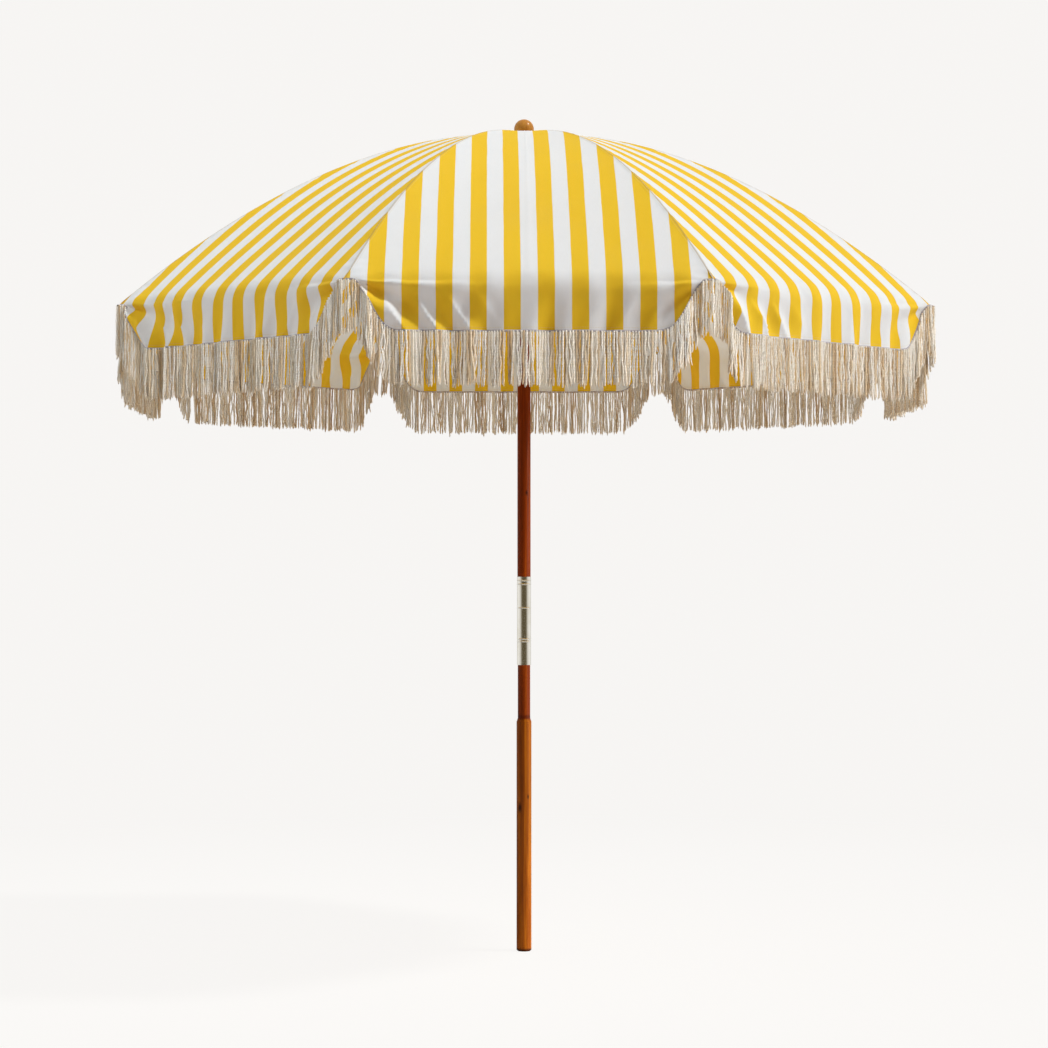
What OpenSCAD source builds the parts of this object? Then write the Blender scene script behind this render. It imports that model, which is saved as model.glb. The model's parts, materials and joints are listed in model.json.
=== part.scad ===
// Beach umbrella: a fringed eight-rib canopy on a two-piece wooden pole.
// The origin is the middle of the pole's foot and +Z runs up the pole. One rib lies each side of -Y.

/* [Pole] */
// Height over the ball on top
total_h = 2012; // [1950:1:2080]
// Diameter of the lower pole
lower_d = 36; // [34:0.5:40]
// Diameter of the lower pole's thin neck
neck_d = 30; // [30:0.5:32]
// Diameter of the upper pole
upper_d = 32; // [31:0.5:33]
// Height at which the lower pole narrows to its neck
step_z = 561; // [500:1:600]

/* [Pole joint] */
// Outer diameter of both metal sleeves
ferrule_d = 33.4; // [33.4:0.1:36]
// Bottom of the lower sleeve
ferrule_z = 689; // [650:1:720]
// Length of the lower sleeve
ferrule_lower_h = 142; // [130:1:160]
// Length of the upper sleeve
ferrule_upper_h = 71; // [60:1:90]
// Length of the plug that slides into the lower sleeve
spigot_l = 84; // [60:1:84]

/* [Canopy] */
// Distance from the pole's axis to a rib's tip in the cloth
canopy_r = 1000; // [950:1:1050]
// Height of the cloth at a rib's tip
rim_z = 1523; // [1500:1:1540]
// Depth of the scalloped valance below the rim
valance_h = 111; // [80:1:130]
// Length of the fringe below the valance
fringe_h = 118; // [80:1:140]

/* [Frame] */
// Diameter of a rib's rod
rib_d = 5; // [4:0.5:5]
// Distance from the axis to the pivot between rib and strut
strut_r = 470; // [440:1:500]
// Height of the struts' pivots on the runner
runner_z = 1600; // [1580:1:1620]
// Diameter of the ball on top
ball_d = 48; // [40:1:52]

/* [Hidden] */
ribs = 8;
cloth_t = 1.5;         // canopy and valance cloth
fringe_t = 4;
crown_z = total_h - 37;      // top of the cloth at the axis
crown_hole_r = 28;           // the cloth starts here, under the round patch
dome_power = 1.9;            // the cloth falls as the distance to this power
rib_gap = 8;                 // from the top of the cloth down to a rib's axis
half_gap = 0.4;              // from the canopy's edge to the middle of a gore
notch_w = 60;                // the valance reaches its depth this far from a rib
notch_power = 2.6;
valance_least = 6;
half_strip_gap = 1.9;         // the hanging strips start this far from a rib's plane
hinge_r = 32;                // the ribs' pivots on the crown hub
hinge_z = crown_z - 13;
pin_r = 1.5;
eye_r = 4;
eye_t = 5;
run_gap = 0.05;              // radial clearance of a pin or spigot that moves
rivet_r = 1.2;
strip_r = 4;                 // the round eyes at the ends of a strut's strips
strip_h = 5.6;               // height of the strips between their eyes
strip_in = 3.2;              // from the middle of a strut to the inner face of a strip
strip_t = 2;
strut_pin_r = 2;
rib_end_r = canopy_r - 16;
hub_r = 40;
hub_core_r = 26;
hub_z = hinge_z - 24;        // underside of the crown hub
pole_top_z = hinge_z - 12;
slot_w = 6;
sleeve_z = ferrule_z + ferrule_lower_h;      // where the two sleeves meet
upper_z = sleeve_z + ferrule_upper_h;        // bottom of the bare upper pole
tenon_r = 14.4;
upper_tenon_r = 13.5;
spigot_r = tenon_r - run_gap;
spigot_bore_r = 12;
spigot_web = 5;
foot_chamfer = 3;
runner_r = 21;
runner_bore_r = upper_d / 2 + 0.4;
runner_low_z = runner_z - 62;
screw_z = runner_z - 40;
$fn = 64;

ids = [1, 2, 3, 4, 5, 6, 7, 8];

// Height of the cloth's top at a distance from the axis
function cloth_z(r) = crown_z - (crown_z - rim_z) * pow(r / canopy_r, dome_power);
// Depth of the valance at a distance along the rim from a rib
function valance_drop(s) = max(valance_least, valance_h * (1 - exp(-pow(s / notch_w, notch_power))));
// Centre of the circle through three points
function circle_centre(a, b, c) =
    let (
        d = 2 * (a.x * (b.y - c.y) + b.x * (c.y - a.y) + c.x * (a.y - b.y)),
        aa = a * a,
        bb = b * b,
        cc = c * c
    )
    [
        (aa * (b.y - c.y) + bb * (c.y - a.y) + cc * (a.y - b.y)) / d,
        (aa * (c.x - b.x) + bb * (a.x - c.x) + cc * (b.x - a.x)) / d
    ];
function rib_azimuth(i) = -90 - 180 / ribs + (i - 1) * 360 / ribs;

hinge = [hinge_r, hinge_z];
strut_top = [strut_r, cloth_z(strut_r) - rib_gap];
strut_foot = [hinge_r, runner_z];
rib_end = [rib_end_r, cloth_z(rib_end_r) - rib_gap];
inner_mid = [250, cloth_z(250) - rib_gap];
outer_mid = [740, cloth_z(740) - rib_gap];

// Turns a piece made in the X-Z plane to its rib's place
module at_rib(i) {
    rotate([0, 0, rib_azimuth(i)]) children();
}

// A cylinder across the rib's plane, centred on it
module cross_pin(at, r, l) {
    translate([at.x, 0, at.y]) rotate([90, 0, 0]) cylinder(r = r, h = l, center = true);
}

// A round rod bent along the arc through three points of the rib's plane
module bent_rod(a, b, c, d) {
    centre = circle_centre(a, b, c);
    radius = norm(a - centre);
    from = atan2(c.y - centre.y, c.x - centre.x);
    to = atan2(a.y - centre.y, a.x - centre.x);
    translate([centre.x, 0, centre.y])
        rotate([90, 0, 0])
            rotate([0, 0, from])
                rotate_extrude(angle = to - from, $fn = 360)
                    translate([radius, 0]) circle(d = d, $fn = 24);
}

// A closed sheet from rows of points of its two faces
module sheet(front, back) {
    rows = len(front);
    cols = len(front[0]);
    count = rows * cols;
    function at(i, j, side) = side * count + i * cols + j;
    points = concat([for (row = front) each row], [for (row = back) each row]);
    inner = [
        for (i = [0 : rows - 2]) for (j = [0 : cols - 2]) for (face = [
            [at(i, j, 0), at(i, j + 1, 0), at(i + 1, j + 1, 0), at(i + 1, j, 0)],
            [at(i, j, 1), at(i + 1, j, 1), at(i + 1, j + 1, 1), at(i, j + 1, 1)]
        ]) face
    ];
    row_edges = [
        for (i = [0 : rows - 2]) for (face = [
            [at(i, 0, 0), at(i + 1, 0, 0), at(i + 1, 0, 1), at(i, 0, 1)],
            [at(i + 1, cols - 1, 0), at(i, cols - 1, 0), at(i, cols - 1, 1), at(i + 1, cols - 1, 1)]
        ]) face
    ];
    col_edges = [
        for (j = [0 : cols - 2]) for (face = [
            [at(0, j + 1, 0), at(0, j, 0), at(0, j, 1), at(0, j + 1, 1)],
            [at(rows - 1, j, 0), at(rows - 1, j + 1, 0), at(rows - 1, j + 1, 1), at(rows - 1, j, 1)]
        ]) face
    ];
    triangles = [for (f = concat(inner, row_edges, col_edges)) each [[f[0], f[1], f[2]], [f[0], f[2], f[3]]]];
    polyhedron(points = points, faces = triangles, convexity = 8);
}

// A hanging strip below one half of the rim, on the side that is 1 or -1, from its tops and bottoms
module hanging_strip(side, tops, bottoms, thick) {
    run = canopy_r * sin(180 / ribs) - half_gap;
    steps = len(tops) - 1;
    along = [-sin(180 / ribs), side * cos(180 / ribs)];
    inward = [-cos(180 / ribs), -side * sin(180 / ribs)];
    start = [canopy_r, side * half_strip_gap];
    function place(k, depth, z) =
        let (p = start + along * (run - 2 * half_strip_gap) * k / steps + inward * depth) [p.x, p.y, z];
    outer = [for (k = [0 : steps]) [place(k, 0, tops[k]), place(k, 0, bottoms[k])]];
    inner = [for (k = [0 : steps]) [place(k, thick, tops[k]), place(k, thick, bottoms[k])]];
    if (side > 0) sheet(outer, inner);
    else sheet(inner, outer);
}

strip_steps = 16;
strip_run = canopy_r * sin(180 / ribs);
hem_z = [for (k = [0 : strip_steps]) rim_z - valance_drop(strip_run * k / strip_steps)];

module lower_pole() {
    color("sienna")
        rotate_extrude() polygon([
            [0, 0], [lower_d / 2 - foot_chamfer, 0], [lower_d / 2, foot_chamfer], [lower_d / 2, step_z - 9],
            [neck_d / 2, step_z], [neck_d / 2, ferrule_z], [tenon_r, ferrule_z], [tenon_r, sleeve_z - spigot_l - 2],
            [0, sleeve_z - spigot_l - 2]
        ]);
}

// A raised ring rolled into a sleeve
module bead(z) {
    translate([0, 0, z])
        rotate_extrude() polygon([
            [ferrule_d / 2 - 0.6, -2], [ferrule_d / 2, -1.6], [ferrule_d / 2 + 0.5, -0.6],
            [ferrule_d / 2 + 0.5, 0.6], [ferrule_d / 2, 1.6], [ferrule_d / 2 - 0.6, 2]
        ]);
}

module lower_ferrule() {
    color("khaki") {
        difference() {
            union() {
                translate([0, 0, ferrule_z]) cylinder(d = ferrule_d, h = ferrule_lower_h);
                for (z = [57, 63]) bead(ferrule_z + z);
                bead(sleeve_z - 4);
            }
            translate([0, 0, ferrule_z - 1]) cylinder(r = tenon_r, h = ferrule_lower_h + 2);
        }
    }
}

module upper_ferrule() {
    color("khaki")
        difference() {
            union() {
                translate([0, 0, sleeve_z + 0.3]) cylinder(d = ferrule_d, h = ferrule_upper_h - 0.3);
                translate([0, 0, sleeve_z - spigot_l]) cylinder(r = spigot_r, h = spigot_l + 1);
                for (z = [9, 18]) bead(upper_z - z);
            }
            translate([0, 0, sleeve_z + spigot_web]) cylinder(r = upper_tenon_r, h = ferrule_upper_h);
            translate([0, 0, sleeve_z - spigot_l - 1]) cylinder(r = spigot_bore_r, h = spigot_l);
        }
}

module upper_pole() {
    color("sienna")
        rotate_extrude() polygon([
            [0, sleeve_z + spigot_web], [upper_tenon_r, sleeve_z + spigot_web], [upper_tenon_r, upper_z],
            [upper_d / 2, upper_z], [upper_d / 2, pole_top_z], [0, pole_top_z]
        ]);
}

module crown_hub() {
    color("dimgray")
        difference() {
            union() {
                translate([0, 0, hub_z]) cylinder(r = hub_core_r - 3, h = 14);
                translate([0, 0, hinge_z - 10]) cylinder(r = hub_r, h = 16);
            }
            translate([0, 0, hub_z - 1]) cylinder(d = upper_d, h = pole_top_z - hub_z + 1);
            translate([0, 0, pole_top_z - 1]) cylinder(r = 5, h = 30);
            for (i = ids) at_rib(i) {
                translate([hub_core_r, -slot_w / 2, hinge_z - 11]) cube([20, slot_w, 20]);
                cross_pin(hinge, pin_r, 16);
            }
        }
}

module hub_pins() {
    color("silver")
        for (i = ids) at_rib(i) cross_pin(hinge, pin_r, 14);
}

module crown_patch() {
    color("gold")
        translate([0, 0, crown_z + 0.3])
            difference() {
                cylinder(r = 46, h = 1.7);
                translate([0, 0, -1]) cylinder(r = 5.5, h = 4);
            }
}

module finial() {
    base_z = crown_z + 2;
    color("peru") {
        difference() {
            translate([0, 0, total_h - ball_d / 2]) sphere(d = ball_d);
            translate([0, 0, base_z - 50]) cube([100, 100, 100], center = true);
        }
        translate([0, 0, pole_top_z + 0.5]) cylinder(r = 4.95, h = base_z - pole_top_z);
    }
}

module runner() {
    color("dimgray")
        difference() {
            union() {
                translate([0, 0, runner_low_z]) cylinder(r = runner_r, h = runner_z + 8 - runner_low_z);
                translate([0, 0, runner_low_z]) cylinder(r = runner_r + 3, h = 8);
                for (i = ids) at_rib(i) {
                    translate([runner_r - 3, -2.5, runner_z - 10]) cube([hinge_r - runner_r, 5, 18]);
                    translate([runner_r - 3, -2.5, runner_z + strut_pin_r + 0.5]) cube([hinge_r - runner_r + 7, 5, 5.5]);
                }
            }
            translate([0, 0, runner_low_z - 1]) cylinder(r = runner_bore_r, h = 100);
            translate([0, 0, screw_z]) rotate([90, 0, 0]) cylinder(r = 3, h = 60);
        }
}

module clamp_screw() {
    color("dimgray")
        translate([0, 0, screw_z]) rotate([90, 0, 0]) {
            translate([0, 0, runner_bore_r]) cylinder(r = 3, h = 14);
            translate([0, 0, runner_bore_r + 11]) cylinder(r = 8, h = 10);
        }
}

module rib(i) {
    color("silver") at_rib(i)
        difference() {
            union() {
                bent_rod(hinge + [3, 0], inner_mid, strut_top, rib_d);
                bent_rod(strut_top, outer_mid, rib_end, rib_d);
                cross_pin(hinge, eye_r, eye_t);
                cross_pin(strut_top, strip_r, eye_t);
                cross_pin(strut_top, rivet_r, 2 * (strip_in + strip_t) + 1.6);
            }
            cross_pin(hinge, pin_r + run_gap, eye_t + 2);
        }
}

module rib_tip(i) {
    slope = atan2(rib_end.y - outer_mid.y, rib_end.x - outer_mid.x) - 3.5;
    color("gainsboro") at_rib(i)
        translate([rib_end.x, 0, rib_end.y])
            rotate([0, 90 - slope, 0])
                difference() {
                    union() {
                        translate([0, 0, -16]) cylinder(d = rib_d + 2, h = 19);
                        translate([0, 0, 3]) sphere(d = rib_d + 2);
                    }
                    translate([0, 0, -17]) cylinder(d = rib_d + 0.5, h = 17);
                }
}

module strut(i) {
    d = strut_top - strut_foot;
    slope = atan2(d.y, d.x);
    color("silver") at_rib(i) {
        difference() {
            for (side = [-1, 1]) {
                y = side > 0 ? strip_in : -strip_in - strip_t;
                for (end = [strut_foot, strut_top])
                    translate([end.x, y + strip_t, end.y]) rotate([90, 0, 0]) cylinder(r = strip_r, h = strip_t);
                translate([strut_foot.x, y, strut_foot.y])
                    rotate([0, -slope, 0])
                        translate([2.6, 0.2, -strip_h / 2]) cube([norm(d) - 5.2, strip_t - 0.4, strip_h]);
            }
            cross_pin(strut_top, rivet_r + run_gap, 20);
        }
        cross_pin(strut_foot, strut_pin_r, 2 * (strip_in + strip_t) + 1.2);
    }
}

module canopy(i) {
    steps = 12;
    radii = [for (k = [0 : steps]) crown_hole_r + (canopy_r - crown_hole_r) * k / steps];
    function row(r, lift) = [
        for (side = [1, 0, -1])
            [r * (1 - abs(side) * pow(sin(180 / ribs), 2)),
             side * (r * sin(180 / ribs) * cos(180 / ribs) - half_gap), cloth_z(r) + lift]
    ];
    color("gold") at_rib(i)
        sheet([for (r = radii) row(r, 0)], [for (r = radii) row(r, -cloth_t)]);
}

module valance(i) {
    color("gold") at_rib(i)
        for (side = [-1, 1])
            hanging_strip(side, [for (z = hem_z) rim_z - cloth_t - 0.5], hem_z, cloth_t);
}

module fringe(i) {
    color("linen") at_rib(i)
        for (side = [-1, 1])
            hanging_strip(side, [for (z = hem_z) z - 0.5], [for (z = hem_z) z - fringe_h], fringe_t);
}

lower_pole();
lower_ferrule();
upper_ferrule();
upper_pole();
crown_hub();
hub_pins();
crown_patch();
finial();
runner();
clamp_screw();
for (i = ids) {
    rib(i);
    rib_tip(i);
    strut(i);
    canopy(i);
    valance(i);
    fringe(i);
}
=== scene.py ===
import json
import math

import bpy
import numpy as np
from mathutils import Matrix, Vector

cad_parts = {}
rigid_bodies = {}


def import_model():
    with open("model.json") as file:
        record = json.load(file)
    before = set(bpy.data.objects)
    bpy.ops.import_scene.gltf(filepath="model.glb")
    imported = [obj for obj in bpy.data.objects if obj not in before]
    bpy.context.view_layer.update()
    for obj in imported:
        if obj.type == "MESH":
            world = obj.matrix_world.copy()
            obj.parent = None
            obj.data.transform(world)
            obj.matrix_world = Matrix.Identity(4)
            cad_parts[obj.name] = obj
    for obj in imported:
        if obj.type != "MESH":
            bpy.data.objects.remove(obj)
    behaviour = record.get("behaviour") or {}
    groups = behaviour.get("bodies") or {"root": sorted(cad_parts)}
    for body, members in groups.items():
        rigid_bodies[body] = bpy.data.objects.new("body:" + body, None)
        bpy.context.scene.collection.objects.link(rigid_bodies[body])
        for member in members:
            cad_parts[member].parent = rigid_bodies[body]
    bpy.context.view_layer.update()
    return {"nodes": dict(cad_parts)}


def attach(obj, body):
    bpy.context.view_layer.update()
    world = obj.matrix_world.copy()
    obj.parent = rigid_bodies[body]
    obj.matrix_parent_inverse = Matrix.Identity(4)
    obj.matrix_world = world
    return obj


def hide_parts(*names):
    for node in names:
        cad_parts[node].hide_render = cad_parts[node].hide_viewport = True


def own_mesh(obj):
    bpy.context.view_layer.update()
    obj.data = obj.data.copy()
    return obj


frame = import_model()

# Sizes, in metres, as in the CAD
RIBS = 8
HALF = math.pi / RIBS                   # half the angle of a gore
RIM_R, RIM_Z, CROWN_Z = 1.0, 1.523, 1.975
DOME_POWER = 1.9
CENTRE_R = 0.006                        # the cloth starts here, round the ball's stem
VALANCE_H, NOTCH_W, NOTCH_POWER, VALANCE_LEAST = 0.111, 0.060, 2.6, 0.004
FRINGE_L = 0.114
STRIPE = 0.071                          # one yellow and one white stripe
SHOULDER_Z = 0.561                      # the lower pole's shoulder, below which its stain is paler
CHORD = RIM_R * math.sin(HALF)          # half the rim's length in a gore

# Threads and sewing, in metres
THREAD, TWILL, PLY = 0.0011, 0.0012, 0.0062     # repeats of the canvas's, tape's and cord's pattern
STITCH, TAPE_STITCH = 0.0034, 0.0032
SEAM_CREASE, SEAM_STITCHES = 0.0010, 0.0058     # distances from the seam
HEM_STITCHES = 0.0085                   # height above the hem


# ---------------------------------------------------------------- shader nodes
class Nodes:
    """A material's node tree, with short calls to add and join its nodes."""

    def __init__(self, name):
        self.material = bpy.data.materials.new(name)
        self.material.use_nodes = True
        self.tree = self.material.node_tree
        self.tree.nodes.clear()
        self.bsdf = self.add("ShaderNodeBsdfPrincipled")
        self.out = self.add("ShaderNodeOutputMaterial")
        self.join(self.bsdf.outputs[0], self.out.inputs["Surface"])

    def add(self, kind, **settings):
        node = self.tree.nodes.new(kind)
        for key, value in settings.items():
            setattr(node, key, value)
        return node

    def join(self, source, target):
        self.tree.links.new(source, target)

    def put(self, value, socket):
        if isinstance(value, bpy.types.NodeSocket):
            self.join(value, socket)
        else:
            socket.default_value = value

    def math(self, operation, a, b=0.0, c=0.0):
        node = self.add("ShaderNodeMath", operation=operation)
        for value, socket in zip((a, b, c), node.inputs):
            self.put(value, socket)
        return node.outputs[0]

    def sine(self, value, pitch):
        """A sine of the value that repeats at this pitch."""
        return self.math("SINE", self.math("MULTIPLY", value, 2 * math.pi / pitch))

    def vector_math(self, operation, a, b=(0, 0, 0)):
        node = self.add("ShaderNodeVectorMath", operation=operation)
        self.join(a, node.inputs[0])
        node.inputs[1].default_value = b
        return node.outputs["Value" if operation == "LENGTH" else "Vector"]

    def mix(self, share, a, b, blend="MIX"):
        node = self.add("ShaderNodeMix", data_type="RGBA", blend_type=blend)
        for value, socket in zip((share, a, b), (node.inputs[0], node.inputs[6], node.inputs[7])):
            self.put((*value, 1.0) if isinstance(value, tuple) else value, socket)
        return node.outputs[2]

    def coords(self, scale=(1, 1, 1), uv=None):
        """The object's own coordinates, or a UV map's, times a scale."""
        source = self.add("ShaderNodeUVMap", uv_map=uv) if uv else self.add("ShaderNodeTexCoord")
        mapping = self.add("ShaderNodeMapping")
        self.join(source.outputs["UV" if uv else "Object"], mapping.inputs["Vector"])
        mapping.inputs["Scale"].default_value = scale
        return mapping.outputs[0]

    def noise(self, scale, detail=3.0, uv=None, roughness=0.55, distortion=0.0):
        node = self.add("ShaderNodeTexNoise")
        self.join(self.coords(scale, uv), node.inputs["Vector"])
        settings = {"Scale": 1.0, "Detail": detail, "Roughness": roughness, "Distortion": distortion}
        for name, value in settings.items():
            node.inputs[name].default_value = value
        return node.outputs["Fac"]

    def ramp(self, value, *stops):
        node = self.add("ShaderNodeValToRGB")
        self.join(value, node.inputs[0])
        marks = node.color_ramp.elements
        while len(marks) < len(stops):
            marks.new(0.5)
        for mark, (place, colour) in zip(marks, stops):
            mark.position = place
            mark.color = (*colour, 1.0)
        return node.outputs[0]

    def range(self, value, low, high, to_low=0.0, to_high=1.0):
        node = self.add("ShaderNodeMapRange")
        for v, socket in zip((value, low, high, to_low, to_high), node.inputs):
            self.put(v, socket)
        return node.outputs[0]

    def near(self, value, place, inner, outer, strength=1.0):
        """The strength within the inner distance of a place, fading to nothing at the outer one."""
        distance = self.math("ABSOLUTE", self.math("SUBTRACT", value, place))
        return self.range(distance, inner, outer, strength, 0.0)

    def split(self, vector):
        node = self.add("ShaderNodeSeparateXYZ")
        self.join(vector, node.inputs[0])
        return node.outputs

    def bump(self, height, strength, distance, normal=None):
        node = self.add("ShaderNodeBump")
        node.inputs["Strength"].default_value = strength
        node.inputs["Distance"].default_value = distance
        self.join(height, node.inputs["Height"])
        if normal is not None:
            self.join(normal, node.inputs["Normal"])
        return node.outputs[0]

    def finish(self, colour, roughness, normal=None, **constants):
        self.put(colour, self.bsdf.inputs["Base Color"])
        self.put(roughness, self.bsdf.inputs["Roughness"])
        if normal is not None:
            self.join(normal, self.bsdf.inputs["Normal"])
        for name, value in constants.items():
            self.bsdf.inputs[name.replace("_", " ")].default_value = value
        return self.material

    def blend_in(self, share, shader):
        """Let another shader take this share of the surface."""
        both = self.add("ShaderNodeMixShader")
        self.put(share, both.inputs[0])
        self.join(self.bsdf.outputs[0], both.inputs[1])
        self.join(shader.outputs[0], both.inputs[2])
        self.join(both.outputs[0], self.out.inputs["Surface"])

    def see_through(self, share, colour):
        """Let this share of the light pass through the thin cloth, taking this colour."""
        glow = self.add("ShaderNodeBsdfTranslucent")
        self.put(colour, glow.inputs["Color"])
        self.blend_in(share, glow)


def canvas_material():
    """Striped canvas. The stripes follow the distance from each gore's centreline, the cloth's U."""
    n = Nodes("canvas_stripes")
    x, y, _ = n.split(n.coords(uv="cloth"))
    wobble = n.math("MULTIPLY", n.math("SUBTRACT", n.noise((60, 9, 1), 2, "cloth"), 0.5), 0.0022)
    phase = n.math("MULTIPLY", n.math("ADD", x, wobble), 2 * math.pi / STRIPE)
    stripe = n.range(n.math("COSINE", phase), 0.05, -0.05)
    dye = n.noise((9, 4, 1), 4, "cloth")
    slub = n.noise((1800, 60, 1), 2, "cloth")
    yellow = n.mix(dye, (0.86, 0.57, 0.020), (0.91, 0.64, 0.036))
    white = n.mix(dye, (0.785, 0.855, 0.92), (0.825, 0.89, 0.95))
    colour = n.mix(stripe, white, yellow)
    seam, above_hem, _ = n.split(n.coords(uv="edge"))
    crease = n.near(seam, SEAM_CREASE, 0.0004, 0.0022, 0.55)
    colour = n.mix(crease, colour, (0.42, 0.30, 0.14))
    seam_row = n.math("MULTIPLY", n.range(n.sine(y, STITCH), -0.2, 0.3),
                      n.near(seam, SEAM_STITCHES, 0.0003, 0.0008))
    hem_row = n.math("MULTIPLY", n.range(n.sine(x, STITCH), -0.2, 0.3),
                     n.near(above_hem, HEM_STITCHES, 0.0003, 0.0008))
    stitches = n.math("MAXIMUM", seam_row, hem_row)
    colour = n.mix(n.math("MULTIPLY", stitches, 0.6), colour, (0.74, 0.62, 0.36))
    colour = n.mix(n.range(slub, 0.35, 0.75, 0.0, 0.10), colour, (0.55, 0.42, 0.22), "MULTIPLY")
    soil = n.range(n.noise((5, 5, 5), 5), 0.5, 0.8, 0.0, 0.05)
    colour = n.mix(soil, colour, (0.52, 0.44, 0.34))
    weave = n.math("MULTIPLY", n.sine(x, THREAD), n.sine(y, THREAD))
    sewn = n.bump(stitches, 0.4, 0.0004, n.bump(weave, 0.35, 0.0003))
    soft = n.bump(n.noise((22, 14, 1), 3, "cloth"), 0.25, 0.0012, sewn)
    material = n.finish(colour, n.range(dye, 0.0, 1.0, 0.78, 0.9), soft,
                        Sheen_Weight=0.04, Specular_IOR_Level=0.12)
    n.see_through(0.24, n.mix(stripe, (0.98, 0.67, 0.35), (0.84, 0.28, 0.002)))
    return material


def tape_material():
    """The pale twill tape bound over the hem, with a line of stitches."""
    n = Nodes("hem_tape")
    x, y, _ = n.split(n.coords(uv="cloth"))
    stitch = n.range(n.sine(x, TAPE_STITCH), 0.2, 0.6)
    tone = n.noise((40, 200, 1), 3, "cloth")
    colour = n.mix(tone, (0.30, 0.24, 0.26), (0.52, 0.47, 0.52))
    colour = n.mix(n.math("MULTIPLY", stitch, 0.35), colour, (0.80, 0.78, 0.76))
    twill = n.bump(n.sine(n.math("ADD", x, y), TWILL), 0.5, 0.0003)
    return n.finish(colour, n.range(tone, 0, 1, 0.7, 0.9), twill, Sheen_Weight=0.1)


def cotton_material():
    """Twisted cotton cord. In the strand map U is the cord's tone, lowest on the dark cords that are
    painted shade between the cords, and V runs down it. In the turn map U goes round the cord and V is
    the length along it, in metres."""
    n = Nodes("cotton_cord")
    shade, down, _ = n.split(n.coords(uv="strand"))
    around, length, _ = n.split(n.coords(uv="turn"))
    two_plies, lay = n.math("MULTIPLY", around, 2.0), n.math("MULTIPLY", length, 1 / PLY)
    ply = n.sine(n.math("ADD", two_plies, lay), 1.0)
    # the ramp's brown low end is painted shade, taken by the dark cords
    colour = n.ramp(shade, (0.0, (0.40, 0.22, 0.08)), (0.15, (0.80, 0.62, 0.40)),
                    (0.38, (0.97, 0.90, 0.77)), (1.0, (0.99, 0.97, 0.93)))
    patch = n.noise((31, 9, 1), 3, "strand")
    colour = n.mix(n.range(patch, 0.45, 0.75, 0.0, 0.40), colour, (0.80, 0.64, 0.43))
    colour = n.mix(n.range(down, 0.8, 1.0, 0.0, 0.30), colour, (0.80, 0.62, 0.42))
    # painted shade in the grooves between the cord's two plies
    colour = n.mix(n.range(ply, -1.0, -0.2, 0.35, 0.0), colour, (0.60, 0.44, 0.26))
    fluff = n.noise((900, 900, 900), 2)
    normal = n.bump(fluff, 0.3, 0.0004, n.bump(ply, 0.8, 0.0006))
    material = n.finish(colour, n.range(fluff, 0, 1, 0.8, 0.95), normal,
                        Sheen_Weight=0.2, Specular_IOR_Level=0.2)
    n.see_through(0.38, n.mix(0.5, colour, (1.0, 0.95, 0.84)))
    return material


def wood_material(name, dark, mid, light, knots=(), grain=1.0, roughness=0.34, coat=0.06,
                  pale_below=None):
    """Varnished wood whose grain runs along Z, darker round each knot, given as (x, y, z, size).
    Below the height pale_below the stain is thinner and more golden, with a darker ring where it
    starts and a dark foot."""
    n = Nodes(name)
    place = n.coords()
    bent = n.noise((14 * grain, 14 * grain, 1.1), 3, None, 0.6, 0.4)
    rings = n.noise((95 * grain, 95 * grain, 1.9), 5, None, 0.62, 0.9)
    fine = n.noise((620, 620, 9), 2)
    streak = n.math("ADD", n.math("MULTIPLY", bent, 0.45), n.math("MULTIPLY", rings, 0.55))
    colour = n.ramp(streak, (0.30, dark), (0.50, mid), (0.68, light))
    if pale_below is not None:
        up = n.split(place)[2]
        golden = n.ramp(streak, (0.34, (0.12, 0.022, 0.001)), (0.48, (0.27, 0.062, 0.002)),
                        (0.60, (0.46, 0.135, 0.006)), (0.72, (0.74, 0.33, 0.045)))
        colour = n.mix(n.range(up, pale_below - 0.004, pale_below, 1.0, 0.0), colour, golden)
        colour = n.mix(n.near(up, pale_below + 0.003, 0.002, 0.007, 0.75), colour, dark)
        colour = n.mix(n.range(up, 0.004, 0.009, 0.85, 0.0), colour, tuple(0.2 * c for c in dark))
    colour = n.mix(n.range(fine, 0.52, 0.7, 0.0, 0.5), colour, dark)
    for x, y, z, size in knots:
        offset = n.vector_math("SUBTRACT", place, (x, y, z))
        shape = n.vector_math("MULTIPLY", offset, (1 / size, 1 / size, 0.45 / size))
        ragged = n.math("MULTIPLY", n.math("SUBTRACT", rings, 0.5), 0.9)
        edge = n.math("ADD", n.vector_math("LENGTH", shape), ragged)
        colour = n.mix(n.range(edge, 0.3, 1.15, 0.9, 0.0), colour, tuple(0.16 * c for c in dark))
    height = n.math("ADD", n.math("MULTIPLY", rings, 0.5), n.math("MULTIPLY", fine, 0.5))
    return n.finish(colour, n.range(rings, 0.2, 0.8, roughness, roughness + 0.16),
                    n.bump(height, 0.12, 0.0005),
                    Coat_Weight=coat, Coat_Roughness=0.16, Specular_IOR_Level=0.05)


def metal_material(name, base, tarnish, roughness=0.2, along=(40, 40, 900)):
    """Plated metal turned or drawn along one way, with faint tarnish."""
    n = Nodes(name)
    lines = n.noise(along, 3)
    stain = n.range(n.noise((38, 38, 30), 4), 0.45, 0.8, 0.0, 0.4)
    return n.finish(n.mix(stain, base, tarnish), n.range(lines, 0.2, 0.8, roughness, roughness + 0.10),
                    n.bump(lines, 0.03, 0.0001), Metallic=1.0)


def moulded_material(name, low, high, roughness=0.5):
    """Moulded plastic with a fine eggshell grain."""
    n = Nodes(name)
    tone = n.noise((30, 30, 30), 4)
    grain = n.noise((900, 900, 900), 2)
    return n.finish(n.mix(tone, low, high), n.range(tone, 0.2, 0.8, roughness, roughness + 0.15),
                    n.bump(grain, 0.15, 0.0002))


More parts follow.
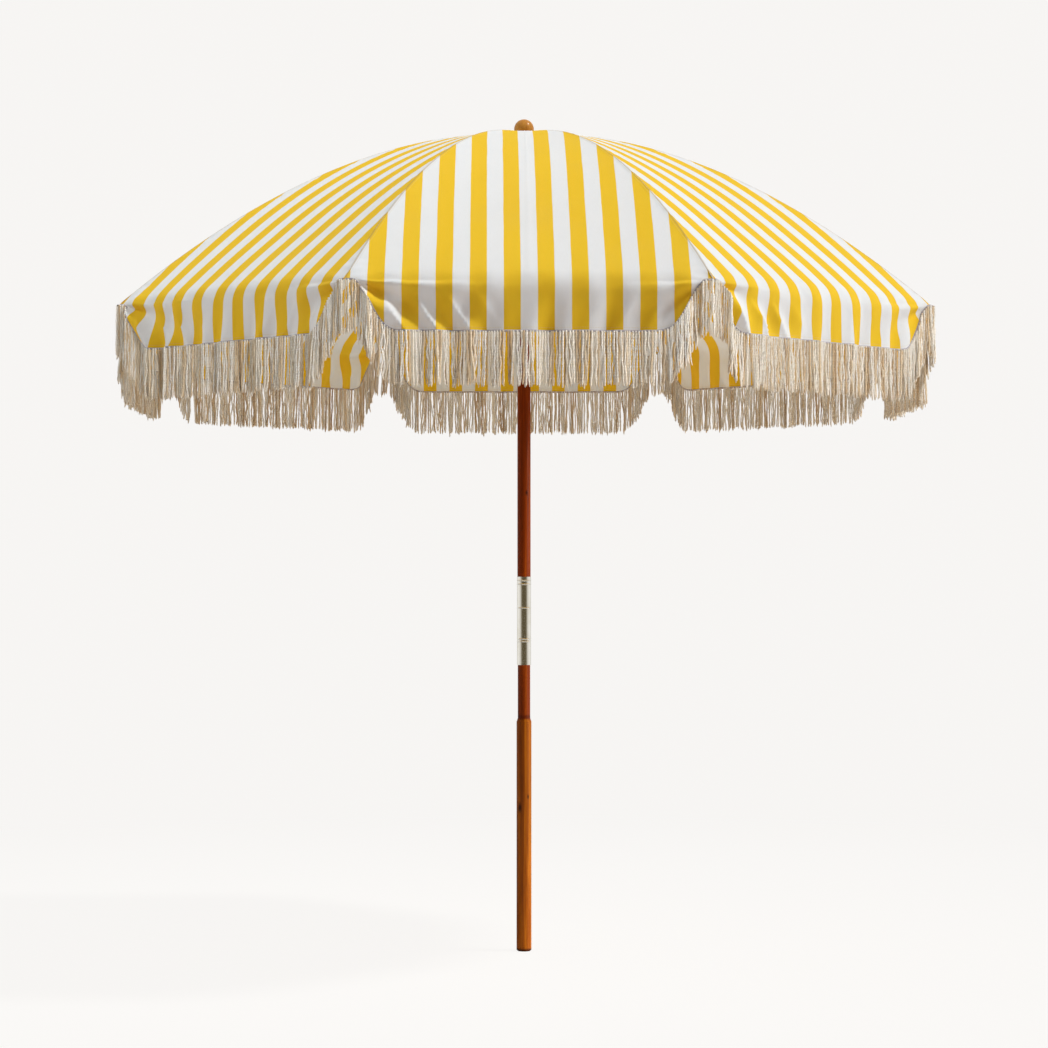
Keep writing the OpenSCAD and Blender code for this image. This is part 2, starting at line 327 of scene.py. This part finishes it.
# ---------------------------------------------------------------- the gore's cloth
def dome_z(r):
    return CROWN_Z - (CROWN_Z - RIM_Z) * (r / RIM_R) ** DOME_POWER


def valance_drop(from_rib):
    """The valance's depth at a distance from the rib, where it has a rounded notch."""
    share = 1 - np.exp(-(np.maximum(from_rib, 0) / NOTCH_W) ** NOTCH_POWER)
    return np.maximum(VALANCE_LEAST, VALANCE_H * share)


def smooth(x, low, high):
    """0 up to low, 1 from high on, and an S curve in between."""
    t = np.clip((x - low) / (high - low), 0, 1)
    return t * t * (3 - 2 * t)


def wave(x, seed, lengths):
    """A smooth random wave of x, the sum of a few sines, about -1 to 1."""
    source = np.random.default_rng(seed)
    total = 0
    for length in lengths:
        own_length = length * source.uniform(0.85, 1.15)
        total = total + np.sin(2 * np.pi * (x / own_length + source.uniform()))
    return total / len(lengths) ** 0.7


def run_length(path):
    """The length along a path at each of its points."""
    return np.concatenate([[0], np.cumsum(np.linalg.norm(np.diff(path, axis=0), axis=1))])


def unit(vectors):
    return vectors / np.linalg.norm(vectors, axis=1, keepdims=True)


# How strongly each gore's valance is draped
LIMPNESS = (1.0, 0.75, 0.6, 0.4, 0.35, 0.4, 0.6, 0.85)
COLUMNS = 121                           # points across a gore, odd so that one is on its centreline
MIDDLE = COLUMNS // 2
ROOF_ROWS, VALANCE_ROWS = 100, 34
RIM_ROWS, RIM_SHARE = 18, 0.06          # the roof's closer rows by the rim, and their share of it
FOLD_ARC = 0.030                        # how far from the rim the cloth starts to bend over
# How far the cloth's features stand off its plain shape; a pair is for a panel's right and left
SAG, SEAM_LIFT, PUCKER, SWELL, FLUTE, LIP = 0.007, 0.0009, 0.0011, 0.0032, 0.0075, 0.007
FOLD, DRAPE = (0.010, 0.015), (0.0026, 0.0080)


def roof_rows():
    """The roof's rows: their distances from the pole's axis, and from the rim along the cloth, where
    those above the rim count below zero."""
    up = np.concatenate([np.linspace(1, RIM_SHARE, ROOF_ROWS - RIM_ROWS),
                         np.linspace(RIM_SHARE, 0, RIM_ROWS + 1)[1:]])
    r = CENTRE_R + (RIM_R - CENTRE_R) * (1 - up)
    steps = np.hypot(np.diff(r) * math.cos(HALF), np.diff(dome_z(r)))
    length = np.concatenate([[0], np.cumsum(steps)])
    return r, length - length[-1]


ROOF_R, ROOF_V = roof_rows()


def gore_sheet(g):
    """Points, normals and cloth coordinates of one whole gore from the crown to the hem, in the gore's
    own frame: X points out along its centreline and Y along the rim. Row ROOF_ROWS - 1 is the rim,
    where the roof meets the valance."""
    x = np.linspace(-1, 1, COLUMNS)
    rim_u = x * CHORD
    from_rib = CHORD - np.abs(rim_u)
    down = np.linspace(0, 1, VALANCE_ROWS)[1:]
    drop = valance_drop(from_rib)
    arc = FOLD_ARC * (0.12 + 0.88 * smooth(from_rib, 0.0, 0.09))
    points = np.zeros((ROOF_ROWS + VALANCE_ROWS - 1, COLUMNS, 3))
    u = np.zeros(points.shape[:2])
    v = np.zeros(points.shape[:2])
    for k, radius in enumerate(ROOF_R):
        u[k], v[k] = x * radius * math.sin(HALF), ROOF_V[k]
        points[k] = np.stack([np.full(COLUMNS, radius * math.cos(HALF)), u[k],
                              np.full(COLUMNS, dome_z(radius))], 1)
    for k, share_down in enumerate(down):
        row = ROOF_ROWS + k
        u[row], v[row] = rim_u, share_down * drop
        points[row] = np.stack([np.full(COLUMNS, RIM_R * math.cos(HALF)), rim_u, RIM_Z - v[row]], 1)
    # the cloth bends over the rim along a parabola instead of a sharp corner
    corner = points[ROOF_ROWS - 1].copy()
    start_r = np.interp(-arc, ROOF_V, ROOF_R)
    start = np.stack([start_r * math.cos(HALF), rim_u, dome_z(start_r)], 1)
    end = corner - np.array([0, 0, 1]) * arc[:, None]
    for row in range(points.shape[0]):
        bend = np.abs(v[row]) < arc
        t = np.clip((v[row] + arc) / (2 * arc), 0, 1)[:, None]
        curve = (1 - t) ** 2 * start + 2 * t * (1 - t) * corner + t ** 2 * end
        curve[:, 1] = points[row, :, 1]
        points[row] = np.where(bend[:, None], curve, points[row])
    rise = gore_relief(g, u, v, x[None, :] + 0 * u, drop[None, :] + 0 * u)
    normals = sheet_normals(points)
    points = points + normals * rise[..., None]
    return points, sheet_normals(points), u, v


def gore_relief(g, u, v, x, drop):
    """How far the cloth stands off its plain shape, outwards, in metres."""
    seed = 100 * g
    limp = LIMPNESS[g]
    from_rib = CHORD - np.abs(u)
    right = u > 0
    below = np.clip(v, 0, None)
    above = np.clip(-v, 0, None)
    # the roof sags a little between its ribs, and the seams stand up
    rise = -SAG * (1 - x ** 2) * smooth(above, 0.0, 0.25) * smooth(1.05 - above, 0.0, 0.5)
    seam_gap = (1 - np.abs(x)) * np.maximum(u / np.where(np.abs(x) < 1e-6, 1, x), 0.0)
    rise = rise + SEAM_LIFT * (1 - smooth(seam_gap, 0.004, 0.0075)) * smooth(above, 0.0, 0.02)
    # short puckers beside each seam
    pucker = np.exp(-seam_gap / 0.022) * smooth(seam_gap, 0.0, 0.008)
    rise = rise + PUCKER * wave(above, seed + 3, (0.032, 0.047)) * pucker
    # soft swells just above the rim, and flutes that open down to the hem
    rise = rise + SWELL * wave(u, seed + 1, (0.19, 0.11, 0.073)) * np.exp(-((v - 0.008) / 0.040) ** 2)
    flutes = wave(u + 0.25 * below, seed + 2, (0.17, 0.098, 0.061))
    rise = rise + FLUTE * flutes * (below / VALANCE_H) ** 1.15
    # folds that run down and in from each rib's tip
    reach = np.hypot(from_rib, below)
    angle = np.arctan2(below, np.maximum(from_rib, 1e-4))
    twist = np.where(right, 0.0, 1.7) + g
    spread = np.where(right, 0.15, 0.20)
    folds = np.sin(8.0 * angle + twist) * smooth(reach, 0.006, 0.060) * np.exp(-(reach / spread) ** 2)
    rise = rise + limp * np.where(right, *FOLD) * folds * smooth(below, 0.0, 0.015)
    # slanting drapes along the hem, strongest on each panel's left
    slant = 1 - 2 * np.abs(np.sin(np.pi * (from_rib - 0.67 * below) / 0.068 + 0.5 * twist)) ** 0.8
    beside_rib = smooth(from_rib, 0.02, 0.08) * (1 - smooth(from_rib, 0.20, 0.34))
    draped = smooth(below, 0.015, 0.085) * beside_rib
    rise = rise + limp * np.where(right, *DRAPE) * slant * draped
    # the notch's edge rolls outwards
    edge = smooth(below, 0.35 * drop, drop) * np.exp(-(from_rib / 0.075) ** 2)
    return rise + LIP * edge * (0.7 + 0.5 * np.sin(twist * 2.1 + 31 * below))


def sheet_normals(points):
    """Unit normals of a gore's grid, turned to face outwards."""
    du = np.gradient(points, axis=1)
    dv = np.gradient(points, axis=0)
    n = np.cross(dv, du)
    n = n / np.maximum(np.linalg.norm(n, axis=2, keepdims=True), 1e-12)
    return np.where(n[..., :1] + 0.6 * n[..., 2:] < 0, -n, n)


def gore_azimuth(g):
    return -math.pi / 2 + 2 * HALF * g


def turned(vectors, azimuth):
    c, s = math.cos(azimuth), math.sin(azimuth)
    x, y, z = vectors[..., 0], vectors[..., 1], vectors[..., 2]
    return np.stack([x * c - y * s, x * s + y * c, z], -1)


# ---------------------------------------------------------------- meshes
def link(name, mesh, *materials):
    for material in materials:
        mesh.materials.append(material)
    piece = bpy.data.objects.new(name, mesh)
    bpy.context.scene.collection.objects.link(piece)
    return piece


def mesh_from(name, points, faces, uvs=(), normals=None):
    """A smooth mesh from points, four-sided faces, UV maps by point and, if given, normals by point."""
    mesh = bpy.data.meshes.new(name)
    mesh.vertices.add(len(points))
    mesh.vertices.foreach_set("co", np.asarray(points, np.float32).ravel())
    faces = np.asarray(faces, np.int32)
    mesh.loops.add(faces.size)
    mesh.loops.foreach_set("vertex_index", faces.ravel())
    mesh.polygons.add(len(faces))
    mesh.polygons.foreach_set("loop_start", np.arange(0, faces.size, faces.shape[1], dtype=np.int32))
    mesh.polygons.foreach_set("use_smooth", np.ones(len(faces), bool))
    for title, values in uvs:
        layer = mesh.uv_layers.new(name=title)
        layer.data.foreach_set("uv", np.asarray(values, np.float32)[faces.ravel()].ravel())
    mesh.update(calc_edges=True)
    mesh.validate()
    if normals is not None:
        mesh.normals_split_custom_set_from_vertices([tuple(n) for n in normals])
    return mesh


def grid_faces(rows, columns, start=0, flip=False, closed=False):
    """The faces of a grid whose first point is number start. A closed grid's columns go all round."""
    across = columns if closed else columns - 1
    i, j = np.meshgrid(np.arange(rows - 1), np.arange(across), indexing="ij")
    k = (j + 1) % columns
    corners = [i * columns + j, i * columns + k, (i + 1) * columns + k, (i + 1) * columns + j]
    faces = np.stack([c.ravel() for c in corners], 1) + start
    return faces[:, ::-1] if flip else faces


def joined(name, parts):
    """One mesh of several grids, each (points, cloth map, edge map, normals)."""
    points, uvs, edges, normals, faces, start = [], [], [], [], [], 0
    for grid, uv, edge, normal in parts:
        rows, columns = grid.shape[:2]
        faces.append(grid_faces(rows, columns, start, flip=True))
        points.append(grid.reshape(-1, 3))
        uvs.append(uv.reshape(-1, 2))
        edges.append(edge.reshape(-1, 2))
        normals.append(normal.reshape(-1, 3))
        start += rows * columns
    maps = [("cloth", np.concatenate(uvs)), ("edge", np.concatenate(edges))]
    return mesh_from(name, np.concatenate(points), np.concatenate(faces), maps, np.concatenate(normals))


# A rib takes side a of the gore before it, and side b of the one after
HALVES = {"a": slice(MIDDLE, COLUMNS), "b": slice(0, MIDDLE + 1)}


def cut(sheet, rows, columns):
    """Part of a gore's sheet: points, cloth map, distances from the seam and above the hem, normals."""
    points, normals, u, v = sheet
    reach = np.interp(v, ROOF_V, ROOF_R) * math.sin(HALF)
    edge = np.stack([reach - np.abs(u), v[-1:] - v], -1)
    return tuple(field[rows, columns] for field in (points, np.stack([u, v], -1), edge, normals))


def fold_hem(piece, i):
    """Give a hanging piece of the hem, a valance half, its tape or its cords, its own mesh and hang it
    on the hem body of rib i."""
    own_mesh(piece)
    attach(piece, f"hem_{i}")


def build_cloth(canvas, tape):
    sheets = []
    for g in range(RIBS):
        points, normals, u, v = gore_sheet(g)
        azimuth = gore_azimuth(g)
        sheets.append((turned(points, azimuth), turned(normals, azimuth), u, v))
    above_rim, below_rim = slice(0, ROOF_ROWS), slice(ROOF_ROWS - 1, None)
    hems = {}
    for i in range(1, RIBS + 1):
        before, after = sheets[(i - 2) % RIBS], sheets[i - 1]
        halves = [cut(before, above_rim, HALVES["a"]), cut(after, above_rim, HALVES["b"])]
        roof = link(f"roof_{i}", joined(f"roof_{i}", halves), canvas)
        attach(roof, f"rib_{i}")
        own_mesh(roof)
        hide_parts(f"canopy_{i}")
        for side, sheet, half in ((-1, before, "a"), (1, after, "b")):
            name = f"valance_{i}{half}"
            grid = cut(sheet, below_rim, HALVES[half])
            valance = link(name, joined(name, [grid]), canvas)
            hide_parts(f"valance_{i}")
            # from the rib to the panel's middle
            hem, outward = grid[0][-1][::side], grid[3][-1][::side]
            tape_name = f"hem_tape_{i}{half}"
            bound = link(tape_name, tape_mesh(tape_name, hem, outward), tape)
            hems[i, side] = (hem, outward, valance, bound)
    return hems


def build_patch(canvas):
    """The round patch over the crown, lying on the dome, with its edge turned under."""
    radii = np.array([0.0055, 0.015, 0.028, 0.038, 0.0435, 0.0455, 0.0462, 0.0462, 0.0455])
    lift = np.array([0.0028, 0.0026, 0.0022, 0.0020, 0.0020, 0.0019, 0.0015, 0.0009, 0.0004])
    turn = np.linspace(0, 2 * np.pi, 145)
    wrinkle = 0.00035 * np.sin(8 * turn)[None, :] * smooth(radii, 0.02, 0.04)[:, None]
    z = (dome_z(radii) + lift)[:, None] + wrinkle
    points = np.stack([radii[:, None] * np.cos(turn), radii[:, None] * np.sin(turn), z], -1)
    uv = points[..., :2] + np.array([STRIPE / 2, 0])
    # a row of stitches by its rim, in place of a seam's, and no hem near
    edge = np.stack(np.broadcast_arrays((0.0455 - radii)[:, None] + 0.003, np.ones((1, len(turn)))), -1)
    mesh = mesh_from("crown_patch_cloth", points.reshape(-1, 3),
                     grid_faces(len(radii), len(turn), flip=True),
                     [("cloth", uv.reshape(-1, 2)), ("edge", edge.reshape(-1, 2))])
    patch = link("crown_patch_cloth", mesh, canvas)
    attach(patch, "upper_mast")
    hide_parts("crown_patch")


TAPE_SIDES = 12


def ring_sweep(path, side_axis, up_axis, profile):
    """Points of a closed profile of (across, up) pairs carried along a path."""
    across, up = profile[:, 0][None, :, None], profile[:, 1][None, :, None]
    return path[:, None, :] + side_axis[:, None, :] * across + up_axis[:, None, :] * up


def tape_mesh(name, hem, outward):
    """A narrow folded tape over the hem: a flat rounded tube 2.4 mm thick and 4.4 mm deep."""
    up = unit(np.cross(outward, unit(np.gradient(hem, axis=0))))
    up = up * np.sign(up[:, 2:])
    angle = np.linspace(0, 2 * np.pi, TAPE_SIDES, endpoint=False)
    wide = 0.0012 * np.sign(np.cos(angle)) * np.abs(np.cos(angle)) ** 0.6
    grid = ring_sweep(hem, outward, up, np.stack([wide, 0.0012 + 0.0022 * np.sin(angle)], 1))
    uv = np.stack(np.broadcast_arrays(run_length(hem)[:, None], (angle * 0.002)[None, :]), -1)
    faces = grid_faces(len(hem), TAPE_SIDES, closed=True)
    return mesh_from(name, grid.reshape(-1, 3), faces, [("cloth", uv.reshape(-1, 2))])


# ---------------------------------------------------------------- fringe
STRAND_RINGS, STRAND_SIDES = 26, 7
STRAND_STEP = 0.0034                    # from one cord to the next, along the hem
STRAND_THICK = (0.0015, 0.0022)         # least and greatest radius
ROW_GAP = 0.0021                        # how far the two rows hang off the hem's middle, in and out
LAY = 0.026                             # the cord's two strands turn once in this length
# the cords outside this share are painted dark brown, as painted shade between the cords
UNSHADED_SHARE = 0.66                         # share of pale cords


def fringe_mesh(name, hem, outward, seed):
    """Twisted cords hung from the hem in two rows, each with its own lean, waviness and length."""
    source = np.random.default_rng(seed)
    length = run_length(hem)
    count = int(length[-1] / STRAND_STEP)
    places = (np.arange(count) + 0.5) * length[-1] / count + source.normal(0, 0.0009, count)
    start = np.stack([np.interp(places, length, hem[:, k]) for k in range(3)], 1)
    facing = np.stack([np.interp(places, length, outward[:, k]) for k in range(3)], 1)
    facing = unit(facing * (1, 1, 0))
    along = np.stack([-facing[:, 1], facing[:, 0], 0 * facing[:, 0]], 1)
    row = np.where(np.arange(count) % 2 == 0, 1.0, -1.0)[:, None]
    start = start + facing * row * ROW_GAP + np.array([0, 0, 0.0015])
    reach = FRINGE_L * (1 + 0.02 * wave(places, seed, (0.09, 0.04))) + source.normal(0, 0.0026, count)
    t = np.linspace(0, 1, STRAND_RINGS)
    # strands gather in small tufts, so neighbours lean alike, and each has its own kink
    lean = 0.0036 * wave(places, seed + 1, (0.050, 0.023)) + source.normal(0, 0.0022, count)
    sway = 0.0045 * wave(places, seed + 2, (0.060, 0.031)) + source.normal(0, 0.0020, count)
    kink = source.normal(0, 0.0009, (2, count))
    phase = source.uniform(0, 2 * np.pi, (2, count))
    beat = source.uniform(1.2, 2.6, (2, count))
    grown = (t ** 1.35)[None, :]
    bow = [kink[k][:, None] * np.sin(2 * np.pi * beat[k][:, None] * t[None, :] + phase[k][:, None])
           * np.minimum(1, 5 * t)[None, :] for k in (0, 1)]
    side_way = lean[:, None] * grown + bow[0]
    face_way = sway[:, None] * grown + bow[1]
    axis = (start[:, None, :] + along[:, None, :] * side_way[..., None]
            + facing[:, None, :] * face_way[..., None])
    axis[..., 2] -= reach[:, None] * t[None, :]
    angle = np.linspace(0, 2 * np.pi, STRAND_SIDES, endpoint=False)
    thick = source.uniform(*STRAND_THICK, count)
    taper = np.concatenate([np.ones(STRAND_RINGS - 2), [0.95, 0.45]])
    twist = reach[:, None] * t[None, :] * 2 * np.pi / LAY + phase[0][:, None]
    lobes = 1 + 0.22 * np.cos(2 * (angle[None, None, :] - twist[..., None]))
    radius = thick[:, None, None] * taper[None, :, None] * lobes
    c, s = np.cos(angle)[None, None, :, None], np.sin(angle)[None, None, :, None]
    spoke = c * facing[:, None, None, :] + s * along[:, None, None, :]
    ring = axis[:, :, None, :] + radius[..., None] * spoke
    first = np.arange(count) * STRAND_RINGS * STRAND_SIDES
    faces = grid_faces(STRAND_RINGS, STRAND_SIDES, closed=True)
    faces = (faces[None] + first[:, None, None]).reshape(-1, 4)
    # pale cords among dark brown ones; the dark cords are painted shade standing in for the shaded gaps
    # between cords
    shade = source.beta(2.2, 1.6, count) + 0.12 * wave(places, seed + 4, (0.03, 0.011))
    pale = source.uniform(size=count) < UNSHADED_SHARE
    shade = np.clip(np.where(pale, 0.42 + 0.7 * shade, 0.02 + 0.28 * shade), 0, 1)
    around = (angle / (2 * np.pi))[None, None, :]
    down = (reach[:, None] * t[None, :])[..., None]
    strand = np.stack(np.broadcast_arrays(shade[:, None, None], t[None, :, None], around)[:2], -1)
    turn = np.stack(np.broadcast_arrays(around, down), -1)
    return mesh_from(name, ring.reshape(-1, 3), faces,
                     [("strand", strand.reshape(-1, 2)), ("turn", turn.reshape(-1, 2))])


def build_fringe(hems, cotton):
    for (i, side), (hem, outward, valance, bound) in hems.items():
        half = "b" if side > 0 else "a"
        name = f"fringe_{i}{half}"
        strands = link(name, fringe_mesh(name, hem, outward, 1000 + 10 * i + side), cotton)
        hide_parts(f"fringe_{i}")
        for piece in (valance, bound, strands):
            fold_hem(piece, i)


# ---------------------------------------------------------------- CAD nodes that stay
def dress_cad():
    knots = ((-0.011, -0.0143, 0.346, 0.0062), (0.010, -0.0150, 0.372, 0.0030),
             (0.006, -0.0150, 1.105, 0.0035))
    pole = wood_material("stained_pole", (0.08, 0.009, 0.0004), (0.22, 0.031, 0.0008),
                         (0.43, 0.095, 0.003), knots, pale_below=SHOULDER_Z)
    ball = wood_material("honey_wood", (0.26, 0.09, 0.012), (0.47, 0.19, 0.030), (0.64, 0.30, 0.055),
                         grain=0.6, roughness=0.3, coat=0.2)
    sleeve = metal_material("plated_sleeve", (0.86, 0.83, 0.77), (0.60, 0.52, 0.36), 0.07)
    steel = metal_material("zinc_steel", (0.55, 0.55, 0.54), (0.34, 0.32, 0.29), 0.32, (300, 300, 300))
    hub = moulded_material("hub_plastic", (0.018, 0.017, 0.016), (0.035, 0.033, 0.030))
    cap = moulded_material("tip_plastic", (0.60, 0.58, 0.54), (0.72, 0.70, 0.66), 0.4)
    finishes = {"lower_pole": pole, "upper_pole": pole, "finial": ball,
                "lower_ferrule": sleeve, "upper_ferrule": sleeve,
                "crown_hub": hub, "runner": hub, "clamp_screw": hub, "hub_pins": steel}
    for i in range(1, RIBS + 1):
        finishes |= {f"rib_{i}": steel, f"strut_{i}": steel, f"rib_tip_{i}": cap}
    for name, material in finishes.items():
        node = frame["nodes"][name]
        node.data.materials.clear()
        node.data.materials.append(material)


# ---------------------------------------------------------------- stage
BACKDROP = (0.930, 0.915, 0.898)
AMBIENT = (0.205, 0.228, 0.262)
# What reflections see, from the front to the back: between two bright soft boxes it is darker
AROUND = ((0.03, (0.115, 0.095, 0.055)), (0.11, (0.19, 0.165, 0.11)), (0.225, (0.60, 0.59, 0.54)),
          (0.36, (0.76, 0.75, 0.72)), (0.5, (0.90, 0.90, 0.88)), (0.91, (0.90, 0.90, 0.88)),
          (0.985, (0.24, 0.22, 0.17)))
FLOOR_GLOW = 0.92                       # how much of the floor near the pole is plain backdrop
FLOOR_FADE = (0.5, 3.6)                 # distances between which the rest turns into it


def light_studio(tree):
    """A plain pale backdrop for the camera, a soft even light, and AROUND for reflections."""
    def add(kind, **settings):
        node = tree.nodes.new(kind)
        for key, value in settings.items():
            setattr(node, key, value)
        return node

    path, place = add("ShaderNodeLightPath"), add("ShaderNodeTexCoord")
    axes = add("ShaderNodeSeparateXYZ")
    tree.links.new(place.outputs["Generated"], axes.inputs[0])
    backward = add("ShaderNodeMath", operation="MULTIPLY_ADD")
    backward.inputs[1].default_value = backward.inputs[2].default_value = 0.5
    tree.links.new(axes.outputs["Y"], backward.inputs[0])
    boxes = add("ShaderNodeValToRGB")
    tree.links.new(backward.outputs[0], boxes.inputs[0])
    marks = boxes.color_ramp.elements
    marks.remove(marks[1])
    marks[0].position, marks[0].color = AROUND[0][0], (*AROUND[0][1], 1)
    for position, colour in AROUND[1:]:
        marks.new(position).color = (*colour, 1)
    glossy, seen = add("ShaderNodeMix", data_type="RGBA"), add("ShaderNodeMix", data_type="RGBA")
    glossy.inputs[6].default_value = (*AMBIENT, 1)
    seen.inputs[7].default_value = (*BACKDROP, 1)
    tree.links.new(path.outputs["Is Glossy Ray"], glossy.inputs[0])
    tree.links.new(boxes.outputs[0], glossy.inputs[7])
    tree.links.new(path.outputs["Is Camera Ray"], seen.inputs[0])
    tree.links.new(glossy.outputs[2], seen.inputs[6])
    tree.links.new(seen.outputs[2], tree.nodes["Background"].inputs["Color"])


def build_floor():
    """A pale floor that catches a faint shadow, and fades to the plain backdrop away from the pole."""
    floor = Nodes("floor")
    speck = floor.noise((60, 60, 60), 3)
    floor.finish(floor.mix(speck, (0.73, 0.72, 0.70), (0.76, 0.75, 0.73)),
                 floor.range(speck, 0, 1, 0.85, 0.95), Specular_IOR_Level=0.05)
    share = floor.range(floor.vector_math("LENGTH", floor.coords()), *FLOOR_FADE, FLOOR_GLOW, 1.0)
    glow = floor.add("ShaderNodeEmission")
    glow.inputs["Color"].default_value = (*BACKDROP, 1)
    floor.join(floor.range(share, FLOOR_GLOW, 1.0, 1.05, 1.0), glow.inputs["Strength"])
    path = floor.add("ShaderNodeLightPath")
    floor.blend_in(floor.math("MULTIPLY", share, path.outputs["Is Camera Ray"]), glow)
    ring = np.linspace(0, 2 * np.pi, 97)[:-1]
    radii = np.array([0.0, 1.0, 2.5, 5.0])[:, None]
    points = np.stack([radii * np.cos(ring), radii * np.sin(ring), 0 * radii * ring], -1)
    faces = grid_faces(len(radii), len(ring), flip=True, closed=True)
    ground = link("floor", mesh_from("floor", points.reshape(-1, 3), faces), floor.material)


def build_stage():
    scene = bpy.context.scene
    scene.view_settings.view_transform = "Standard"
    scene.view_settings.look = "None"
    world = bpy.data.worlds.new("studio")
    scene.world = world
    world.use_nodes = True
    light_studio(world.node_tree)
    build_floor()


def add_light(name, kind, place, target, energy, **settings):
    data = bpy.data.lights.new(name, kind)
    data.energy = energy
    for key, value in settings.items():
        setattr(data, key, value)
    light = bpy.data.objects.new(name, data)
    bpy.context.scene.collection.objects.link(light)
    light.location = place
    light.visible_glossy = kind == "SUN"
    light.rotation_euler = (Vector(target) - Vector(place)).to_track_quat("-Z", "Y").to_euler()
    return light


def build_lights():
    add_light("sun", "SUN", (2.4, -0.45, 3.0), (0, 0, 0), 3.1,
              angle=math.radians(7), color=(1.0, 0.985, 0.955))
    add_light("strip_right", "AREA", (3.4, -2.4, 1.4), (0, 0, 1.0), 26,
              shape="RECTANGLE", size=0.5, size_y=2.4, color=(1.0, 0.97, 0.93))
    add_light("fill_left", "AREA", (-3.0, -0.9, 4.0), (0, 0, 1.4), 60,
              shape="RECTANGLE", size=1.6, size_y=1.6, color=(0.97, 1.0, 0.96))


def light_some(group, lit, name, place, energy, angle):
    """A light that falls on one group of pieces alone."""
    receivers = bpy.data.collections.get(group) or bpy.data.collections.new(group)
    for thing in bpy.data.objects:
        if lit(thing.name) and thing.name not in receivers.objects:
            receivers.objects.link(thing)
    light = add_light(name, "SUN", place, (0, 0, 0), energy, angle=math.radians(angle))
    light.light_linking.receiver_collection = receivers


def light_fringe_and_pole():
    """Broad lights for the fringe, whose cords shade each other, and for the pole under the canopy."""
    def is_cord(name):
        return name.startswith("fringe_") and name[-1] in "ab"

    def is_pole(name):
        return name in ("lower_pole", "upper_pole")

    light_some("cords", is_cord, "fringe_front", (1.3, -2.4, 0.8), 1.9, 10)
    light_some("cords", is_cord, "fringe_back", (-1.3, 2.4, 0.8), 1.9, 10)
    light_some("poles", is_pole, "pole_side", (2.6, -0.7, 0.5), 2.6, 14)


def build_camera():
    """Level with the canopy's underside, a little to the left of the front panel's middle."""
    distance, height, turn, pitch = 6.5, 0.900, math.radians(0.7), math.radians(1.143)
    data = bpy.data.cameras.new("camera")
    data.sensor_width, data.lens = 36.0, 92.27
    data.clip_end = 200
    camera = bpy.data.objects.new("camera", data)
    bpy.context.scene.collection.objects.link(camera)
    camera.location = (-distance * math.sin(turn), -distance * math.cos(turn), height)
    camera.rotation_euler = (math.pi / 2 + pitch, 0, -turn)
    bpy.context.scene.camera = camera


build_camera()
build_stage()
build_lights()
dress_cad()
canvas = canvas_material()
hems = build_cloth(canvas, tape_material())
build_patch(canvas)
build_fringe(hems, cotton_material())
light_fringe_and_pole()

bpy.context.view_layer.update()
